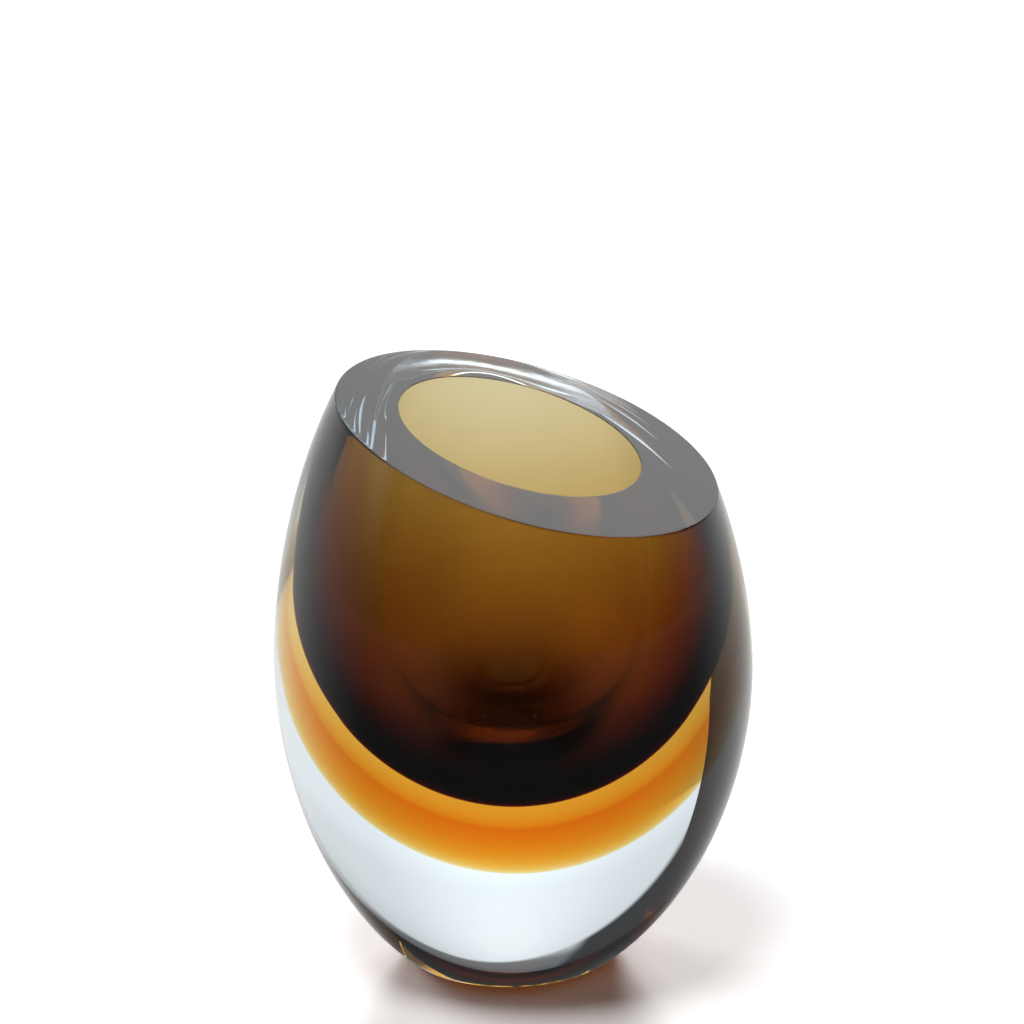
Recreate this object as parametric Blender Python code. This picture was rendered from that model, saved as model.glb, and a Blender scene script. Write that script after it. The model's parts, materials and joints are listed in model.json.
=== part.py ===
"""Cased glass vase: four gathers of glass, one over the other, with a slanted mouth ground flat.

Units are metres, +Z is up and the origin is the centre of the ground base.
Every gather is a lathe form between two egg outlines, and the mouth is one slanted cut through them.
"""
from collections import namedtuple
from math import asin, ceil, copysign, cos, floor, pi, radians, sin

import bmesh
import bpy

# An egg outline: greatest radius, the height where it is widest, the height of the half below and
# of the half above that height, and how full each half is (2 is an ellipse, more is squarer).
Egg = namedtuple("Egg", "radius widest lower upper lower_fullness upper_fullness")

# Driving dimensions
MOUTH_HEIGHT = 0.172                # the slanted cut, measured on the vase's axis
MOUTH_TILT = radians(18.8)          # slope of the cut
MOUTH_HIGH_SIDE = radians(143.2)    # direction of the cut's high side, seen from above
BASE_ARRIS = 0.0008                 # ground corner round the flat base
BELLY_DRIFT = 0.002                 # how far the blown belly wanders off the axis towards +X
BELLY_DRIFT_HEIGHT = 0.170          # height where the outside is back on its axis
CORE_OFFSET = (0.0022, -0.0012)     # the bubble and its gathers sit this far off the base's centre
GAP = 0.0003                        # clearance left between two gathers
GATHER_LIP = 0.138                  # height where the two thin inner gathers end
STOCK_TOP = 0.205                   # top of the blown form before the mouth is cut
BORE_TOP = 0.206                    # the bore runs out through the stock's top
CUTTER_SIZE = 0.4
SEGMENTS = 48                       # facets round the axis
FACET_ANGLE = radians(9)            # facets along an egg's outline, counted from its widest height
SLIVER = 0.05                       # a facet shorter than this share of the others is left out
MERGE_DISTANCE = 1e-6
SHARP_ANGLE = radians(40)           # creases steeper than this are shaded sharp
POLISHED = 0.02                     # roughness of a polished face
GLASS_INDEX = 1.5

OUTSIDE = Egg(0.0750, 0.0955, 0.1073, 0.1295, 1.92, 1.82)
AMBER = Egg(0.0496, 0.0990, 0.0551, 0.135, 1.95, 1.90)
CLEAR_GATHER = Egg(0.0475, 0.1070, 0.0506, 0.140, 1.90, 1.90)
SMOKE = Egg(0.0465, 0.1150, 0.0525, 0.105, 1.95, 1.90)
CAVITY = Egg(0.0439, 0.1188, 0.0511, 0.0969, 2.10, 2.03)


def clear_scene():
    """Remove whatever the file opened with."""
    for item in list(bpy.data.objects):
        bpy.data.objects.remove(item, do_unlink=True)


def grown(egg, amount):
    """The same egg, a little larger all round."""
    return egg._replace(radius=egg.radius + amount, lower=egg.lower + amount, upper=egg.upper + amount)


def half_of(egg, above):
    """Height and fullness of the egg's upper or lower half."""
    if above:
        return egg.upper, egg.upper_fullness
    return egg.lower, egg.lower_fullness


def angle_at(egg, height):
    """Angle along the outline, from -90 degrees at the bottom pole, that reaches a height."""
    rise = height - egg.widest
    half_height, fullness = half_of(egg, rise > 0)
    share = min(abs(rise) / half_height, 1.0)
    return copysign(asin(share ** (fullness / 2)), rise)


def point_at(egg, angle):
    """Radius and height of the outline at an angle."""
    half_height, fullness = half_of(egg, angle > 0)
    power = 2 / fullness
    radius = egg.radius * max(cos(angle), 0.0) ** power
    height = egg.widest + copysign(half_height * abs(sin(angle)) ** power, angle)
    return radius, height


def outline(egg, low, high):
    """Points up the egg's outline between two heights, at the same angles on every egg."""
    start = angle_at(egg, low)
    end = angle_at(egg, high)
    first = floor(start / FACET_ANGLE + SLIVER) + 1
    last = ceil(end / FACET_ANGLE - SLIVER) - 1
    angles = [start, *(FACET_ANGLE * facet for facet in range(first, last + 1)), end]
    return [point_at(egg, angle) for angle in angles]


def bottom_of(egg):
    """Height of the egg's bottom pole."""
    return egg.widest - egg.lower


def from_pole(egg, top):
    """Points up the egg's outline from its bottom pole."""
    return [(0.0, bottom_of(egg)), *outline(egg, bottom_of(egg), top)[1:]]


def cup_profile(outer, inner, top):
    """A cup's section: from the pole up its outside, then down its inside."""
    return from_pole(outer, top) + from_pole(inner, top)[::-1]


def lathe(name, profile):
    """Turn a section of (radius, height) points into one closed solid on the Z axis."""
    form = bmesh.new()
    points = [form.verts.new((radius, 0.0, height)) for radius, height in profile]
    edges = [form.edges.new(pair) for pair in zip(points, points[1:])]
    bmesh.ops.spin(
        form, geom=points + edges, cent=(0, 0, 0), axis=(0, 0, 1), angle=2 * pi,
        steps=SEGMENTS, use_merge=True)
    bmesh.ops.remove_doubles(form, verts=form.verts, dist=MERGE_DISTANCE)
    bmesh.ops.recalc_face_normals(form, faces=form.faces)
    mesh = bpy.data.meshes.new(name)
    form.to_mesh(mesh)
    form.free()
    mesh.shade_smooth()
    mesh.set_sharp_from_angle(angle=SHARP_ANGLE)
    solid = bpy.data.objects.new(name, mesh)
    bpy.context.scene.collection.objects.link(solid)
    return solid


def glass(name, colour, coverage):
    """A polished glass of one colour; coverage says how solid it looks."""
    material = bpy.data.materials.new(name)
    material.use_nodes = True
    shader = material.node_tree.nodes["Principled BSDF"]
    shader.inputs["Base Color"].default_value = (*colour, 1.0)
    shader.inputs["Roughness"].default_value = POLISHED
    shader.inputs["Metallic"].default_value = 0.0
    shader.inputs["IOR"].default_value = GLASS_INDEX
    shader.inputs["Transmission Weight"].default_value = 1.0 - coverage
    return material


def as_cutter(cutter):
    """Show a cutting form as a wire only."""
    cutter.hide_render = True
    cutter.display_type = "WIRE"


def cut(solid, cutter):
    """Take one form away from another."""
    boolean = solid.modifiers.new("cut_" + cutter.name, "BOOLEAN")
    boolean.operation = "DIFFERENCE"
    boolean.solver = "EXACT"
    boolean.object = cutter


def make_mouth_cutter():
    """A block whose underside is the slanted mouth."""
    form = bmesh.new()
    bmesh.ops.create_cube(form, size=CUTTER_SIZE)
    bmesh.ops.translate(form, verts=form.verts, vec=(0, 0, CUTTER_SIZE / 2))
    mesh = bpy.data.meshes.new("mouth_cutter")
    form.to_mesh(mesh)
    form.free()
    cutter = bpy.data.objects.new("mouth_cutter", mesh)
    bpy.context.scene.collection.objects.link(cutter)
    cutter.location = (0, 0, MOUTH_HEIGHT)
    cutter.rotation_euler = (0, -MOUTH_TILT, MOUTH_HIGH_SIDE)
    as_cutter(cutter)
    return cutter


def let_belly_wander(solid):
    """Shift the outside's rings along X, most at half height and not at all at the base."""
    for vertex in solid.data.vertices:
        share = vertex.co.z / BELLY_DRIFT_HEIGHT
        vertex.co.x += 4 * BELLY_DRIFT * share * (1 - share)


def make_core_empty(parent):
    """The off-centre axis that the bubble and its gathers share."""
    core = bpy.data.objects.new("core_axis", None)
    bpy.context.scene.collection.objects.link(core)
    core.parent = parent
    core.location = (*CORE_OFFSET, 0)
    return core


def make_smoke_cup(mouth_cutter):
    """The first bubble: dark at its thick bottom, thin at the mouth."""
    cup = lathe("smoke_brown_cup", cup_profile(SMOKE, CAVITY, STOCK_TOP))
    cut(cup, mouth_cutter)
    cup.data.materials.append(glass("smoke_brown_glass", (0.10, 0.045, 0.012), 0.6))
    return cup


def make_clear_gather():
    """A thin clear gather that parts the smoke glass from the amber."""
    inner = grown(SMOKE, GAP)
    gather = lathe("clear_inner_gather", cup_profile(CLEAR_GATHER, inner, GATHER_LIP))
    gather.data.materials.append(glass("clear_gather_glass", (0.95, 0.90, 0.80), 0.1))
    return gather


def make_amber_gather():
    """The amber gather: thick under the cup, thin up its sides."""
    inner = grown(CLEAR_GATHER, GAP)
    gather = lathe("amber_gather", cup_profile(AMBER, inner, GATHER_LIP))
    gather.data.materials.append(glass("amber_glass", (0.85, 0.38, 0.04), 0.4))
    return gather


def make_bore_cutter(core):
    """Everything inside the clear casing, with the clearance round it."""
    shoulder = GATHER_LIP + GAP
    profile = from_pole(grown(AMBER, GAP), shoulder)
    profile += outline(grown(SMOKE, GAP), shoulder, BORE_TOP)
    profile.append((0.0, BORE_TOP))
    cutter = lathe("bore_cutter", profile)
    cutter.parent = core
    as_cutter(cutter)
    return cutter


def make_casing(bore_cutter, mouth_cutter):
    """The thick clear casing with its ground base."""
    base_radius = point_at(OUTSIDE, angle_at(OUTSIDE, 0.0))[0]
    profile = [(0.0, 0.0), (base_radius - BASE_ARRIS, 0.0)]
    profile += outline(OUTSIDE, BASE_ARRIS, STOCK_TOP)
    profile.append((0.0, STOCK_TOP))
    casing = lathe("clear_outer_casing", profile)
    let_belly_wander(casing)
    cut(casing, bore_cutter)
    cut(casing, mouth_cutter)
    casing.data.materials.append(glass("clear_casing_glass", (0.93, 0.96, 0.97), 0.05))
    return casing


def build_vase():
    """Make every gather and hang it on the vase's own axis."""
    clear_scene()
    vase = bpy.data.objects.new("vase_axis", None)
    bpy.context.scene.collection.objects.link(vase)
    core = make_core_empty(vase)
    mouth_cutter = make_mouth_cutter()
    bore_cutter = make_bore_cutter(core)
    for gather in (make_smoke_cup(mouth_cutter), make_clear_gather(), make_amber_gather()):
        gather.parent = core
    casing = make_casing(bore_cutter, mouth_cutter)
    casing.parent = vase


build_vase()
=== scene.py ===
import json
from collections import namedtuple
from math import asin, copysign, cos, pi, radians, sin

import bpy
from mathutils import Matrix, Vector


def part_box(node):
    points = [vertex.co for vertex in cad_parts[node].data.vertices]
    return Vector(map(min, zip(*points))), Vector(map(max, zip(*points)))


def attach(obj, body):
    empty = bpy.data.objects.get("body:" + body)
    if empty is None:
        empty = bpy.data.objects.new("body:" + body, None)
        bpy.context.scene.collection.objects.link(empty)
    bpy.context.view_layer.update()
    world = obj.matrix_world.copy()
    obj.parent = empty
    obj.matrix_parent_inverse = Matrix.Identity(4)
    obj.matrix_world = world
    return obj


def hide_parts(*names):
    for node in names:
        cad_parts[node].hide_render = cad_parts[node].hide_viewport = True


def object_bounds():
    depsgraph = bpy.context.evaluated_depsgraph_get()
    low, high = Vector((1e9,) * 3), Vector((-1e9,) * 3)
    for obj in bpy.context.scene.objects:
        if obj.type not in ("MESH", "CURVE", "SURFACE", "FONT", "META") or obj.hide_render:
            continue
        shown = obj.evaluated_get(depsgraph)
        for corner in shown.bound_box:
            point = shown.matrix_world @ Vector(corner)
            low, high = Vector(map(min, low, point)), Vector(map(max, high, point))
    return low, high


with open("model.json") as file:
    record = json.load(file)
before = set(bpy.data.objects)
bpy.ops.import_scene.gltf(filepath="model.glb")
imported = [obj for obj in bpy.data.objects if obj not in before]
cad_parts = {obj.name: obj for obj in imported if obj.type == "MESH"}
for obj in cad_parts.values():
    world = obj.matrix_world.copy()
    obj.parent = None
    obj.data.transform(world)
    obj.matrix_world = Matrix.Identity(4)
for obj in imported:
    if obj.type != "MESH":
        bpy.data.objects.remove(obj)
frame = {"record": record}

cad_low, cad_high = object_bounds()

# Driving sizes, all worked out from the frame.
MM = (cad_high.x - cad_low.x) / 150         # the vase is 150 model millimetres across
MOUTH = next(mount for mount in frame["record"]["mounts"] if mount["name"] == "mouth_face")
MOUTH_POINT = Vector(MOUTH["pos_m"])
MOUTH_NORMAL = Vector(MOUTH["axis"]).normalized()
CUP_LOW, CUP_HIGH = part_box("smoke_brown_cup")
AXIS = Vector(((CUP_LOW.x + CUP_HIGH.x) / 2, (CUP_LOW.y + CUP_HIGH.y) / 2))

# An egg outline: greatest radius, the height where it is widest, the height of the half below and
# of the half above that height, and how full each half is (2 is an ellipse, more is squarer).
Egg = namedtuple("Egg", "radius widest lower upper lower_fullness upper_fullness")


def egg(radius, widest, lower, upper, lower_fullness, upper_fullness):
    """An egg outline from sizes in millimetres."""
    return Egg(radius * MM, widest * MM, lower * MM, upper * MM, lower_fullness, upper_fullness)


OUTSIDE = egg(75.0, 95.5, 107.3, 129.5, 1.92, 1.82)
AMBER = egg(49.6, 99.0, 55.1, 135, 1.95, 1.90)
CLEAR_GATHER = egg(47.5, 107.0, 50.6, 140, 1.90, 1.90)
SMOKE = egg(46.5, 115.0, 52.5, 105, 1.95, 1.90)
CAVITY = egg(43.9, 118.8, 51.1, 96.9, 2.10, 2.03)

COLUMNS = 320                       # facets round the axis
WALL_ROWS = 156                     # facets up the casing's wall
BOWL_ROWS = 120                     # facets down the bowl
LAYER_ROWS = 96                     # facets up each side of a coloured layer
ARRIS_ROWS = 4                      # facets round each ground corner
BISECTIONS = 48                     # halvings when a wall's end is looked for
BASE_ARRIS = 0.8 * MM               # ground corner round the flat base
OUTER_ARRIS = 0.55 * MM             # ground corner outside the mouth
INNER_ARRIS = 0.35 * MM             # ground corner inside the mouth
SKIN = 0.05 * MM                    # the coloured layers stay this far inside the clear glass
BELLY_DRIFT = 2.0 * MM              # how far the blown belly wanders off the axis towards +X
BELLY_DRIFT_HEIGHT = 170 * MM       # height where the outside is back on its axis
LIP_START = 112 * MM                # the two thin gathers taper from here
LIP_END = 138 * MM                  # to almost nothing here
LIP_LEFT = 0.03                     # share of a gather's thickness that is left at its lip
BASE_RINGS = (0.35, 0.7, 0.97, 1)   # rings on the flat base, as shares of its radius
MOUTH_RINGS = (0.25, 0.5, 0.75)     # rings on the flat mouth, as shares of its width


def half_of(egg_, above):
    """Height and fullness of the egg's upper or lower half."""
    if above:
        return egg_.upper, egg_.upper_fullness
    return egg_.lower, egg_.lower_fullness


def angle_at(egg_, height):
    """Angle along the outline, from -90 degrees at the bottom pole, that reaches a height."""
    rise = height - egg_.widest
    half_height, fullness = half_of(egg_, rise > 0)
    share = min(abs(rise) / half_height, 1.0)
    return copysign(asin(share ** (fullness / 2)), rise)


def point_at(egg_, angle):
    """Radius and height of the outline at an angle."""
    half_height, fullness = half_of(egg_, angle > 0)
    power = 2 / fullness
    radius = egg_.radius * max(cos(angle), 0.0) ** power
    height = egg_.widest + copysign(half_height * abs(sin(angle)) ** power, angle)
    return radius, height


def radius_at(egg_, height):
    """Radius of the outline at a height."""
    return point_at(egg_, angle_at(egg_, height))[0]


def grown(egg_, amount):
    """The same egg, a little larger all round."""
    return egg_._replace(radius=egg_.radius + amount, lower=egg_.lower + amount, upper=egg_.upper + amount)


def over_mouth(point):
    """How far a point stands above the plane of the mouth."""
    return (point - MOUTH_POINT).dot(MOUTH_NORMAL)


def outside_point(angle, turn):
    """A point on the casing's outer wall."""
    radius, height = point_at(OUTSIDE, angle)
    share = height / BELLY_DRIFT_HEIGHT
    drift = 4 * BELLY_DRIFT * share * (1 - share)
    return Vector((radius * cos(turn) + drift, radius * sin(turn), height))


def core_point(egg_):
    """A function that gives points on an egg round the bubble's own axis."""
    def place(angle, turn):
        radius, height = point_at(egg_, angle)
        return Vector((AXIS.x + radius * cos(turn), AXIS.y + radius * sin(turn), height))
    return place


def solve(low, high, is_past):
    """The angle between low and high where is_past turns true."""
    for _ in range(BISECTIONS):
        middle = (low + high) / 2
        if is_past(middle):
            high = middle
        else:
            low = middle
    return (low + high) / 2


def turns():
    """The angles round the axis where sections are made."""
    return [2 * pi * column / COLUMNS for column in range(COLUMNS)]


def corner(wall, turn, depth=0.0):
    """Angle where a wall meets the mouth, or a plane that lies deeper by depth."""
    return solve(0.0, pi / 2, lambda angle: over_mouth(wall(angle, turn)) > -depth)


def rounded(start, middle, end):
    """A rounded corner between two points, without its ends."""
    for step in range(1, ARRIS_ROWS):
        t = step / ARRIS_ROWS
        yield start * (1 - t) ** 2 + middle * 2 * t * (1 - t) + end * t * t


def spread(start, end, rows):
    """Even steps from start to end, with both."""
    return [start + (end - start) * row / rows for row in range(rows + 1)]


def casing_column(turn):
    """One section of the clear glass: base, wall, mouth and bowl, from pole to pole."""
    inner_wall = core_point(CAVITY)
    outer_corner_angle = corner(outside_point, turn)
    outer_corner = outside_point(outer_corner_angle, turn)
    inner_corner_angle = corner(inner_wall, turn)
    inner_corner = inner_wall(inner_corner_angle, turn)
    wall_end = solve(
        0.0, outer_corner_angle,
        lambda angle: (outside_point(angle, turn) - outer_corner).length < OUTER_ARRIS)
    bowl_end = solve(
        0.0, inner_corner_angle,
        lambda angle: (inner_wall(angle, turn) - inner_corner).length < INNER_ARRIS)
    foot = outside_point(angle_at(OUTSIDE, 0.0), turn)
    foot_end = angle_at(OUTSIDE, BASE_ARRIS)
    inward = (Vector((0, 0, 0)) - foot).normalized()
    flat_edge = foot + inward * BASE_ARRIS
    across = (inner_corner - outer_corner).normalized()
    rim_start = outer_corner + across * OUTER_ARRIS
    rim_end = inner_corner - across * INNER_ARRIS
    points = [flat_edge * share for share in BASE_RINGS]
    points += rounded(flat_edge, foot, outside_point(foot_end, turn))
    points += [outside_point(angle, turn) for angle in spread(foot_end, wall_end, WALL_ROWS)]
    points += rounded(points[-1], outer_corner, rim_start)
    points += [rim_start, rim_start + across * OUTER_ARRIS]
    points += [rim_start.lerp(rim_end, share) for share in MOUTH_RINGS]
    points += [rim_end - across * INNER_ARRIS, rim_end]
    bowl = [inner_wall(angle, turn) for angle in spread(bowl_end, -pi / 2, BOWL_ROWS)]
    points += rounded(rim_end, inner_corner, bowl[0])
    points += bowl[:-1]
    return points


def cup_column(outer, inner, outer_top, inner_top, taper):
    """A layer's section: up its outside from the pole, then down its inside."""
    def build(turn):
        outer_wall = core_point(outer)
        inner_wall = core_point(inner)
        points = []
        for angle in spread(-pi / 2, outer_top(outer_wall, turn), LAYER_ROWS)[1:]:
            point = outer_wall(angle, turn)
            if taper:
                point = tapered(point, outer, inner, turn)
            points.append(point)
        down = spread(inner_top(inner_wall, turn), -pi / 2, LAYER_ROWS)
        points += [inner_wall(angle, turn) for angle in down[:-1]]
        return points
    return build


def tapered(point, outer, inner, turn):
    """Thin a gather out up its sides."""
    share = min(max((point.z - LIP_START) / (LIP_END - LIP_START), 0.0), 1.0)
    keep = 1 - (1 - LIP_LEFT) * share * share * (3 - 2 * share)
    bare = radius_at(inner, point.z)
    radius = bare + (radius_at(outer, point.z) - bare) * keep
    return Vector((AXIS.x + radius * cos(turn), AXIS.y + radius * sin(turn), point.z))


def lathed(name, column, low_pole, high_pole):
    """A closed mesh from one section at each turn, with a pole at either end."""
    sections = [column(turn) for turn in turns()]
    rows = len(sections[0])
    vertices = [low_pole] + [point for section in sections for point in section] + [high_pole]
    last = len(vertices) - 1
    faces = []
    for column_index in range(COLUMNS):
        here = 1 + column_index * rows
        there = 1 + (column_index + 1) % COLUMNS * rows
        faces.append((0, there, here))
        faces += [(here + row, there + row, there + row + 1, here + row + 1) for row in range(rows - 1)]
        faces.append((last, here + rows - 1, there + rows - 1))
    mesh = bpy.data.meshes.new(name)
    mesh.from_pydata([tuple(vertex) for vertex in vertices], [], faces)
    mesh.validate()
    mesh.shade_smooth()
    piece = bpy.data.objects.new(name, mesh)
    bpy.context.scene.collection.objects.link(piece)
    return piece


def pole(egg_):
    """The egg's bottom pole, on the bubble's own axis."""
    return Vector((AXIS.x, AXIS.y, egg_.widest - egg_.lower))


class Graph:
    """Shorthand for a node tree's arithmetic."""

    def __init__(self, tree):
        self.tree = tree

    def link(self, value, socket):
        """Set a socket to a number, or link another socket to it."""
        if isinstance(value, (int, float)):
            socket.default_value = value
        else:
            self.tree.links.new(value, socket)

    def math(self, operation, *values):
        """One arithmetic node."""
        node = self.tree.nodes.new("ShaderNodeMath")
        node.operation = operation
        for socket, value in zip(node.inputs, values):
            self.link(value, socket)
        return node.outputs[0]

    def mix(self, share, first, second):
        """A mix of two numbers."""
        node = self.tree.nodes.new("ShaderNodeMix")
        node.data_type = "FLOAT"
        self.link(share, node.inputs["Factor"])
        self.link(first, node.inputs["A"])
        self.link(second, node.inputs["B"])
        return node.outputs["Result"]

    def ramp(self, value, start, end):
        """0 at start, 1 at end, with a soft step between them."""
        node = self.tree.nodes.new("ShaderNodeMapRange")
        node.interpolation_type = "SMOOTHSTEP"
        self.link(value, node.inputs["Value"])
        node.inputs["From Min"].default_value = min(start, end)
        node.inputs["From Max"].default_value = max(start, end)
        node.inputs["To Min"].default_value = 0.0 if start < end else 1.0
        node.inputs["To Max"].default_value = 1.0 if start < end else 0.0
        return node.outputs["Result"]

    def split(self, coordinate):
        """The three parts of a texture coordinate."""
        place = self.tree.nodes.new("ShaderNodeTexCoord")
        node = self.tree.nodes.new("ShaderNodeSeparateXYZ")
        self.tree.links.new(place.outputs[coordinate], node.inputs[0])
        return node.outputs

    def ray(self, kind):
        """What kind of light path the surface is seen on."""
        node = self.tree.nodes.new("ShaderNodeLightPath")
        return node.outputs[kind]

    def zone(self, bearing, height, middle, half_width, low, high, soft):
        """A soft-edged patch of sky: 1 inside it and 0 outside, angles in degrees."""
        away = self.math("SUBTRACT", bearing, radians(middle))
        away = self.math("ABSOLUTE", self.math("WRAP", away, pi, -pi))
        side = self.ramp(away, radians(half_width + soft), radians(half_width - soft))
        bottom = self.ramp(height, radians(low - soft), radians(low + soft))
        top = self.ramp(height, radians(high + soft), radians(high - soft))
        return self.math("MULTIPLY", side, self.math("MULTIPLY", bottom, top))

    def dome(self, bearing, height, middle, half_width, top, fullness, soft):
        """A soft-edged patch with a rounded top and upright sides below the horizon."""
        away = self.math("SUBTRACT", bearing, radians(middle))
        across = self.math("DIVIDE", away, radians(half_width))
        across = self.math("POWER", self.math("ABSOLUTE", across), fullness)
        up = self.math("DIVIDE", self.math("MAXIMUM", height, 0.0), radians(top))
        up = self.math("POWER", up, fullness)
        return self.ramp(self.math("ADD", across, up), 1 + soft * fullness, 1 - soft * fullness)

    def blend(self, share, first, second):
        """A mix of two colours."""
        node = self.tree.nodes.new("ShaderNodeMix")
        node.data_type = "RGBA"
        self.link(share, node.inputs[0])
        for socket, colour in zip(node.inputs[6:8], (first, second)):
            if isinstance(colour, tuple):
                socket.default_value = (*colour, 1)
            else:
                self.tree.links.new(colour, socket)
        return node.outputs[2]

    def lights_floor(self):
        """1 on a ray that has left the floor, so that what it meets is what lights the floor."""
        return self.math("GREATER_THAN", self.ray("Diffuse Depth"), 0.5)

    def tint(self):
        """White, or a cast for light through the glass: cool when it is seen, amber on the floor."""
        cast = self.blend(self.lights_floor(), GLASS_TINT, GLOW_TINT)
        return self.blend(self.ray("Is Transmission Ray"), (1, 1, 1), cast)


# Materials -------------------------------------------------------------------------------------

GLASS_INDEX = 1.5
LAYER_INDEX = 1.0                   # light doesn't bend where one glass is fused to the next
# What each glass takes out of red, green and blue light, per metre.
CRYSTAL = (0.40, 0.15, 0.02)
SMOKE_BROWN = (272, 466, 960)
STRAW = (2, 4, 12)
AMBER_TINT = (5, 32, 112)
GRIND_SCALE = 180                   # how fine the grinding on the flat base is
GRIND_DEPTH = 0.25 * MM             # how deep it goes
GRIND_DETAIL = 4
SATIN = (0.06, 0.4)                 # roughness of the ground base, from its smoothest to its roughest
STRIAE_SCALE = 14                   # slow waves in the blown surface
STRIAE_DEPTH = 0.02 * MM
STRIAE_DETAIL = 1
STRIAE_STRETCH = 2
STREAK_SCALE = 40                   # upright streaks in the coloured glass, and their deepest tints
STREAK_DETAIL = 2
STREAK_STRETCH = 3
SMOKE_STREAK = (0.985, 0.985, 0.975)
STRAW_STREAK = (1.0, 0.995, 0.98)
AMBER_STREAK = (1.0, 0.985, 0.96)
MOST_ABSORBED = 0.75                # what a volume colour takes out of its weakest channel


def object_noise(tree, scale, detail, stretch):
    """Noise fixed to the piece, drawn out along Z by the stretch."""
    place = tree.nodes.new("ShaderNodeTexCoord")
    mapping = tree.nodes.new("ShaderNodeMapping")
    mapping.inputs["Scale"].default_value = (1, 1, 1 / stretch)
    noise = tree.nodes.new("ShaderNodeTexNoise")
    noise.inputs["Scale"].default_value = scale
    noise.inputs["Detail"].default_value = detail
    tree.links.new(place.outputs["Object"], mapping.inputs["Vector"])
    tree.links.new(mapping.outputs["Vector"], noise.inputs["Vector"])
    return noise.outputs["Fac"]


def grind_base(material):
    """Leave the flat base satin and slightly pitted, and the rest with the slow waves of blown glass."""
    tree = material.node_tree
    graph = Graph(tree)
    height = graph.split("Object")[2]
    ground = graph.ramp(height, 2 * BASE_ARRIS, 0.5 * BASE_ARRIS)
    grain = object_noise(tree, GRIND_SCALE, GRIND_DETAIL, 1)
    satin = graph.mix(grain, *SATIN)
    roughness = graph.math("MULTIPLY", ground, satin)
    tree.links.new(roughness, tree.nodes["Principled BSDF"].inputs["Roughness"])
    relief = tree.nodes.new("ShaderNodeBump")
    relief.inputs["Distance"].default_value = GRIND_DEPTH
    relief.inputs["Strength"].default_value = 1.0
    pits = graph.math("MULTIPLY", ground, grain)
    waves = object_noise(tree, STRIAE_SCALE, STRIAE_DETAIL, STRIAE_STRETCH)
    striae = graph.math("MULTIPLY", waves, STRIAE_DEPTH / GRIND_DEPTH)
    tree.links.new(graph.math("ADD", pits, striae), relief.inputs["Height"])
    tree.links.new(relief.outputs["Normal"], tree.nodes["Principled BSDF"].inputs["Normal"])
    return material


def streak_colour(material, deepest):
    """Let a gather's colour run in faint upright streaks, as it does where molten glass was turned."""
    tree = material.node_tree
    streaks = object_noise(tree, STREAK_SCALE, STREAK_DETAIL, STREAK_STRETCH)
    colour = Graph(tree).blend(streaks, (1, 1, 1), deepest)
    tree.links.new(colour, tree.nodes["Principled BSDF"].inputs["Base Color"])
    return material


def glass(name, ior, absorption):
    """A clear dielectric whose colour lies in its volume, by absorption per metre."""
    material = bpy.data.materials.new(name)
    material.use_nodes = True
    nodes = material.node_tree.nodes
    shader = nodes["Principled BSDF"]
    shader.inputs["Base Color"].default_value = (1, 1, 1, 1)
    shader.inputs["Roughness"].default_value = 0.0
    shader.inputs["IOR"].default_value = ior
    shader.inputs["Transmission Weight"].default_value = 1.0
    colour, density = absorbed(absorption)
    volume = nodes.new("ShaderNodeVolumeAbsorption")
    volume.inputs["Color"].default_value = (*colour, 1)
    volume.inputs["Density"].default_value = density
    material.node_tree.links.new(volume.outputs[0], nodes["Material Output"].inputs["Volume"])
    return material


def absorbed(per_metre):
    """Volume colour and density for absorption coefficients per metre."""
    density = max(per_metre) / MOST_ABSORBED
    return [1 - value / density for value in per_metre], density


# Pieces ----------------------------------------------------------------------------------------

def finish_piece(piece, material, node):
    """Give a piece its glass, attach it to the root body, and hide the part that it stands for."""
    piece.data.materials.append(material)
    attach(piece, "root")
    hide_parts(node)


def make_casing():
    """The clear glass, from the outside to the bowl's own surface. The coloured layers lie inside it."""
    piece = lathed("casing_glass", casing_column, Vector((0, 0, 0)), pole(CAVITY))
    crystal = grind_base(glass("clear_crystal", GLASS_INDEX, CRYSTAL))
    finish_piece(piece, crystal, "clear_outer_casing")


def make_smoke():
    """The first bubble, which ends just under the flat mouth."""
    def top(wall, turn):
        return corner(wall, turn, SKIN)

    inner = grown(CAVITY, SKIN)
    column = cup_column(SMOKE, inner, top, top, False)
    piece = lathed("smoke_cup_glass", column, pole(SMOKE), pole(inner))
    brown = streak_colour(glass("smoke_brown", LAYER_INDEX, SMOKE_BROWN), SMOKE_STREAK)
    finish_piece(piece, brown, "smoke_brown_cup")


def make_gather(node, outer, inner_egg, material):
    """A thin gather, tapered out up its sides."""
    def outer_top(wall, turn):
        return angle_at(outer, LIP_END)

    def inner_top(wall, turn):
        return angle_at(inner, LIP_END)

    inner = grown(inner_egg, SKIN)
    column = cup_column(outer, inner, outer_top, inner_top, True)
    piece = lathed(node + "_layer", column, pole(outer), pole(inner))
    finish_piece(piece, material, node)


make_casing()
make_smoke()
make_gather(
    "clear_inner_gather", CLEAR_GATHER, SMOKE,
    streak_colour(glass("clear_straw", LAYER_INDEX, STRAW), STRAW_STREAK))
make_gather(
    "amber_gather", AMBER, CLEAR_GATHER,
    streak_colour(glass("amber", LAYER_INDEX, AMBER_TINT), AMBER_STREAK))


# Floor, light and camera -----------------------------------------------------------------------

FLOOR_SIZE = 12.0
FLOOR_DROP = 0.2 * MM
FLOOR_WHITE = 2.0                   # the floor is exposed well over white, as in a studio cut-out

# The studio's light. A bearing is counted in degrees from straight behind the vase, positive to the
# right, and brightness is 1 for the white backdrop.
GLASS_TINT = (0.90, 0.965, 1.0)     # the backdrop's own cool cast, seen through the glass
GLOW_TINT = (0.55, 0.19, 0.03)      # light that falls through the glass onto the floor
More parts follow.
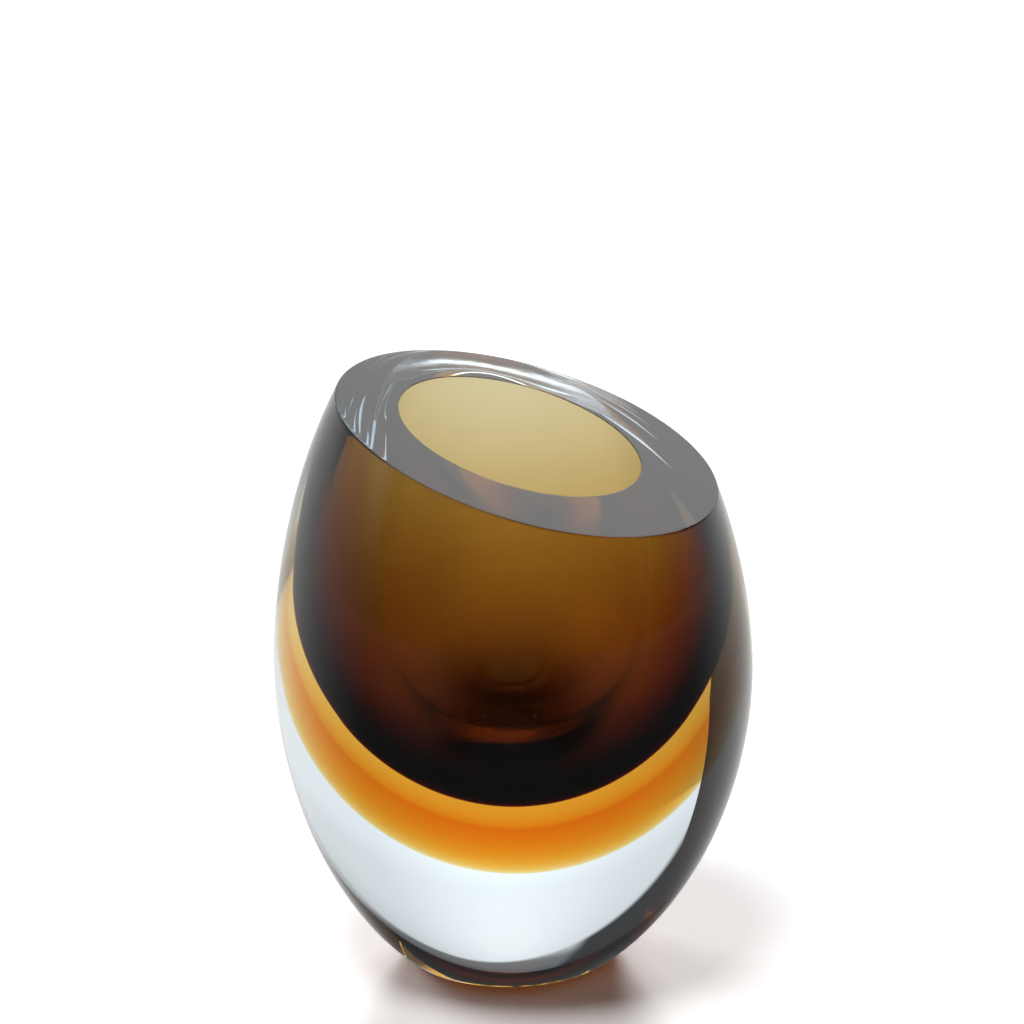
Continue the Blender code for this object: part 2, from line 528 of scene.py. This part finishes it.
# Patches of sky: bearing, half width, lowest and highest elevation, softness and brightness. A later
# patch covers the earlier ones.
SKY_BASE = 0.65                     # seen through the glass
SKY = [
    (180, 70, -40, 48, 8, 0.10),
    (0, 180, 54, 120, 6, 1.8),
    (115, 25, 40, 67, 4, 0.15),
    (5, 62, 30, 50, 4, 0.22),
    (-50, 32, -40, 50, 3, 0.05),
]
BACKDROP = (14, 57, 34, 1.7, 0.04)  # its middle, half width, top, fullness and softness
BACKDROP_LIGHT = (0.87, 1.08)       # at its sides, and straight behind the vase
BACKDROP_MIDDLE = 2                 # bearing of its brightest part
BACKDROP_FALL = 28                  # bearing where the light has fallen to that of the sides
HORIZON_GLOW = 1.10                 # how much brighter the backdrop is along the horizon
HORIZON = (8, 2)                    # elevations where that starts and is full
ROOM_LIGHT = 0.06                   # what the glass's surface mirrors from the room in front
ROOM_PATCHES = [
    (-75, 30, 14, 60, 8, 0.60),
    (15, 27, 16, 54, 6, 1.50),
    (0, 180, 65, 120, 8, 0.75),
]
MIRRORED_LIGHT = 0.95               # what it mirrors from behind the vase
MIRRORED_TOP = (24, 10)             # elevations where that starts and is full
MIRRORED_RIGHT = (102, 25)          # bearings where it starts and is full
MIRRORED_LEFT = (-118, -50)
FILL_LIGHT = 0.025                  # what the room adds to the floor's light
GLOW_LIGHT = 0.55                   # what comes down through the glass onto the floor

# The floor's glow in the glass: painted light that stands for the lit floor, with a painted shadow round
# the vase and painted shade in front. The distances from the vase count left and right more.
ASIDE = 2.6                         # how much more they count
PAINTED_SHADOW_THROUGH = (10 * MM, 280 * MM)    # through the glass: painted shadow, dark at the vase, full this far away
PAINTED_SHADOW_MIRRORED = (30 * MM, 150 * MM)  # in the glass's surface: the same painted shadow
NEAR_TO_FAR = (350 * MM, 850 * MM)
FRONT = (85, 115)                   # bearings where the floor's front half, dark with painted shade, starts
FRONT_LIGHT = 0.10
NEAR_LIGHT = (1.08, 0.78)           # straight behind and at the right, and at the left
NEAR_LEFT = (-2, -22)
FAR_LEFT_LIGHT = 0.72
FAR_LEFT = (-20, -42)
MIRRORED_FRONT = (0.13, 0.03)       # near the vase, and far away straight in front: painted shade in the mirrored floor
STRAIGHT_FRONT = (140, 165)
FAR_FRONT = (250 * MM, 600 * MM)

# Soft lamps on the floor: bearing, elevation, spread, and the light that each gives the floor.
LAMPS = [
    (2, 7, 14, 0.36),
    (6, 18, 22, 0.20),
    (-36, 12, 20, 0.15),
    (-145, 73, 20, 0.42),
    (-100, 50, 40, 0.10),
    (125, 48, 24, 0.04),
]
CARD_START = (-30 * MM, 80 * MM)    # a black card behind the glass, seen only through its right side
CARD_BEARING = -35
CARD_LENGTH = 300 * MM
CARD_TOP = 110 * MM
CARD_LIGHT = 0.05

# The camera
FILM_WIDTH = 36
LENS = 111.41
CAMERA_DISTANCE = 1000 * MM         # from a point on the vase's axis
AIM_HEIGHT = 80 * MM                # the height of that point
CAMERA_RISE = radians(18.240)
LOOK_UP = radians(3.584)            # how far above that point the camera looks
CAMERA_YAW = radians(0.131)
CAMERA_ROLL = radians(-0.787)


def backdrop_light(graph, bearing):
    """The backdrop's brightness, greatest straight behind the vase."""
    away = graph.math("SUBTRACT", bearing, radians(BACKDROP_MIDDLE))
    middle = graph.ramp(graph.math("ABSOLUTE", away), radians(BACKDROP_FALL), 0.0)
    return graph.mix(middle, *BACKDROP_LIGHT)


def angle_ramp(graph, angle, limits):
    """0 at the first of two angles in degrees, 1 at the second, with a soft step between them."""
    start, end = limits
    return graph.ramp(angle, radians(start), radians(end))


def behind(graph, bearing):
    """1 straight behind the vase, fading out towards both sides."""
    right = angle_ramp(graph, bearing, MIRRORED_RIGHT)
    left = angle_ramp(graph, bearing, MIRRORED_LEFT)
    return graph.math("MULTIPLY", right, left)


def painted_floor_light(graph):
    """Painted light: how bright the floor glows in the glass, dark round the vase as a painted shadow, and
    0 for the light that falls on the floor.
    """
    x, y, _ = graph.split("Object")
    aside = graph.math("MULTIPLY", x, ASIDE)
    squares = graph.math("ADD", graph.math("MULTIPLY", aside, aside), graph.math("MULTIPLY", y, y))
    reach = graph.math("SQRT", squares)
    bearing = graph.math("ARCTAN2", x, y)
    turned = graph.math("ABSOLUTE", bearing)
    near_light = graph.mix(angle_ramp(graph, bearing, NEAR_LEFT), *NEAR_LIGHT)
    far_side = graph.mix(angle_ramp(graph, bearing, FAR_LEFT), HORIZON_GLOW, FAR_LEFT_LIGHT)
    far_light = graph.math("MULTIPLY", backdrop_light(graph, bearing), far_side)
    light = graph.mix(graph.ramp(reach, *NEAR_TO_FAR), near_light, far_light)
    # Painted shade: the floor's front half is dark in the glass.
    light = graph.mix(angle_ramp(graph, turned, FRONT), light, FRONT_LIGHT)
    # Painted shadow: the glow seen through the glass fades out at the vase.
    through = graph.math("MULTIPLY", graph.ramp(reach, *PAINTED_SHADOW_THROUGH), light)
    straight_front = angle_ramp(graph, turned, STRAIGHT_FRONT)
    far_front = graph.math("MULTIPLY", straight_front, graph.ramp(reach, *FAR_FRONT))
    # Painted shade: the mirrored floor is dark in front.
    front_light = graph.mix(far_front, *MIRRORED_FRONT)
    # Painted shadow: the mirrored floor is dark round the vase.
    back_light = graph.math("MULTIPLY", graph.ramp(reach, *PAINTED_SHADOW_MIRRORED), MIRRORED_LIGHT)
    mirrored = graph.mix(behind(graph, bearing), front_light, back_light)
    strength = graph.mix(graph.ray("Is Reflection Ray"), through, mirrored)
    return graph.mix(graph.lights_floor(), strength, 0.0)


def make_floor():
    """A pale matt floor to the camera, which glows to the glass with painted light and a painted shadow
    round the vase.
    """
    mesh = bpy.data.meshes.new("floor")
    corners = ((-1, -1), (1, -1), (1, 1), (-1, 1))
    points = [(x * FLOOR_SIZE, y * FLOOR_SIZE, -FLOOR_DROP) for x, y in corners]
    mesh.from_pydata(points, [], [(0, 1, 2, 3)])
    floor = bpy.data.objects.new("floor", mesh)
    bpy.context.scene.collection.objects.link(floor)
    material = bpy.data.materials.new("pale_floor")
    material.use_nodes = True
    tree = material.node_tree
    graph = Graph(tree)
    tree.nodes.remove(tree.nodes["Principled BSDF"])
    matt = tree.nodes.new("ShaderNodeBsdfDiffuse")
    matt.inputs["Color"].default_value = (FLOOR_WHITE, FLOOR_WHITE, FLOOR_WHITE, 1)
    # The glow is painted light and painted shadow, seen only by rays that aren't camera rays.
    glow = tree.nodes.new("ShaderNodeEmission")
    tree.links.new(painted_floor_light(graph), glow.inputs["Strength"])
    tree.links.new(graph.tint(), glow.inputs["Color"])
    mix = tree.nodes.new("ShaderNodeMixShader")
    tree.links.new(graph.ray("Is Camera Ray"), mix.inputs["Fac"])
    tree.links.new(glow.outputs[0], mix.inputs[1])
    tree.links.new(matt.outputs[0], mix.inputs[2])
    tree.links.new(mix.outputs[0], tree.nodes["Material Output"].inputs["Surface"])
    mesh.materials.append(material)


def sky(graph, bearing, height, base, patches):
    """The sky's brightness: a base with soft patches laid over it."""
    total = base
    for *shape, strength in patches:
        total = graph.mix(graph.zone(bearing, height, *shape), total, strength)
    return total


def make_world():
    """The studio: white to the camera, and patches of light and dark to the glass."""
    world = bpy.data.worlds.new("studio")
    bpy.context.scene.world = world
    world.use_nodes = True
    world.cycles.sampling_method = "NONE"
    tree = world.node_tree
    graph = Graph(tree)
    x, y, z = graph.split("Generated")
    bearing = graph.math("ARCTAN2", x, y)
    height = graph.math("ARCSINE", z)
    glow = graph.mix(angle_ramp(graph, height, HORIZON), 1.0, HORIZON_GLOW)
    backdrop = graph.math("MULTIPLY", backdrop_light(graph, bearing), glow)
    open_sky = sky(graph, bearing, height, SKY_BASE, SKY)
    through = graph.mix(graph.dome(bearing, height, *BACKDROP), open_sky, backdrop)
    low = graph.math("MULTIPLY", angle_ramp(graph, height, MIRRORED_TOP), behind(graph, bearing))
    low_light = graph.mix(low, ROOM_LIGHT, MIRRORED_LIGHT)
    mirrored = sky(graph, bearing, height, low_light, ROOM_PATCHES)
    strength = graph.mix(graph.ray("Is Reflection Ray"), through, mirrored)
    spill = graph.mix(graph.ray("Is Transmission Ray"), FILL_LIGHT, GLOW_LIGHT)
    strength = graph.mix(graph.lights_floor(), strength, spill)
    strength = graph.mix(graph.ray("Is Camera Ray"), strength, 1.0)
    tree.links.new(strength, tree.nodes["Background"].inputs["Strength"])
    tree.links.new(graph.tint(), tree.nodes["Background"].inputs["Color"])


def make_card():
    """A one-sided black card that shows only through the glass, as a dark band up its right side."""
    near_x, near_y = CARD_START
    far_x = near_x + CARD_LENGTH * sin(radians(CARD_BEARING))
    far_y = near_y + CARD_LENGTH * cos(radians(CARD_BEARING))
    foot = [(near_x, near_y, 0), (far_x, far_y, 0)]
    top = [(far_x, far_y, CARD_TOP), (near_x, near_y, CARD_TOP)]
    mesh = bpy.data.meshes.new("black_card")
    mesh.from_pydata(foot + top, [], [(0, 1, 2, 3)])
    card = bpy.data.objects.new("black_card", mesh)
    bpy.context.scene.collection.objects.link(card)
    material = bpy.data.materials.new("black_card")
    material.use_nodes = True
    nodes = material.node_tree.nodes
    links = material.node_tree.links
    nodes.remove(nodes["Principled BSDF"])
    front = nodes.new("ShaderNodeEmission")
    front.inputs["Strength"].default_value = CARD_LIGHT
    back = nodes.new("ShaderNodeBsdfTransparent")
    side = nodes.new("ShaderNodeNewGeometry")
    mix = nodes.new("ShaderNodeMixShader")
    links.new(side.outputs["Backfacing"], mix.inputs["Fac"])
    links.new(front.outputs[0], mix.inputs[1])
    links.new(back.outputs[0], mix.inputs[2])
    links.new(mix.outputs[0], nodes["Material Output"].inputs["Surface"])
    mesh.materials.append(material)
    card.visible_camera = False
    card.visible_diffuse = False
    card.visible_glossy = False
    card.visible_shadow = False


def make_lamps():
    """Soft lamps that only the floor can see."""
    for bearing, elevation, lamp_spread, light in LAMPS:
        turn = radians(bearing)
        rise = radians(elevation)
        lamp = bpy.data.lights.new("studio_lamp", "SUN")
        lamp.angle = radians(lamp_spread)
        lamp.energy = light * pi / (FLOOR_WHITE * sin(rise))
        towards = Vector((sin(turn) * cos(rise), cos(turn) * cos(rise), sin(rise)))
        holder = bpy.data.objects.new("studio_lamp", lamp)
        bpy.context.scene.collection.objects.link(holder)
        holder.rotation_euler = towards.to_track_quat("Z", "Y").to_euler()
        holder.visible_camera = False
        holder.visible_glossy = False
        holder.visible_transmission = False


def make_camera():
    """A long lens in front of the vase, a little above it."""
    look_down = CAMERA_RISE - LOOK_UP
    ahead = cos(look_down)
    forward = Vector((sin(CAMERA_YAW) * ahead, cos(CAMERA_YAW) * ahead, -sin(look_down)))
    right = forward.cross(Vector((0, 0, 1))).normalized()
    up = right.cross(forward)
    side = right * cos(CAMERA_ROLL) + up * sin(CAMERA_ROLL)
    top = up * cos(CAMERA_ROLL) - right * sin(CAMERA_ROLL)
    camera = bpy.data.objects.new("camera", bpy.data.cameras.new("camera"))
    bpy.context.scene.collection.objects.link(camera)
    camera.data.sensor_width = FILM_WIDTH
    camera.data.lens = LENS
    camera.data.clip_start = 0.05
    camera.data.clip_end = 50
    back = CAMERA_DISTANCE * cos(CAMERA_RISE)
    place = Vector((0, -back, AIM_HEIGHT + CAMERA_DISTANCE * sin(CAMERA_RISE)))
    turn = Matrix((side, top, -forward)).transposed()
    camera.matrix_world = Matrix.Translation(place) @ turn.to_4x4()
    bpy.context.scene.camera = camera


make_floor()
make_card()
make_world()
make_lamps()
make_camera()

scene = bpy.context.scene
scene.view_settings.view_transform = "Standard"
scene.cycles.max_bounces = 64
scene.cycles.transmission_bounces = 64
scene.cycles.glossy_bounces = 16
scene.cycles.diffuse_bounces = 3
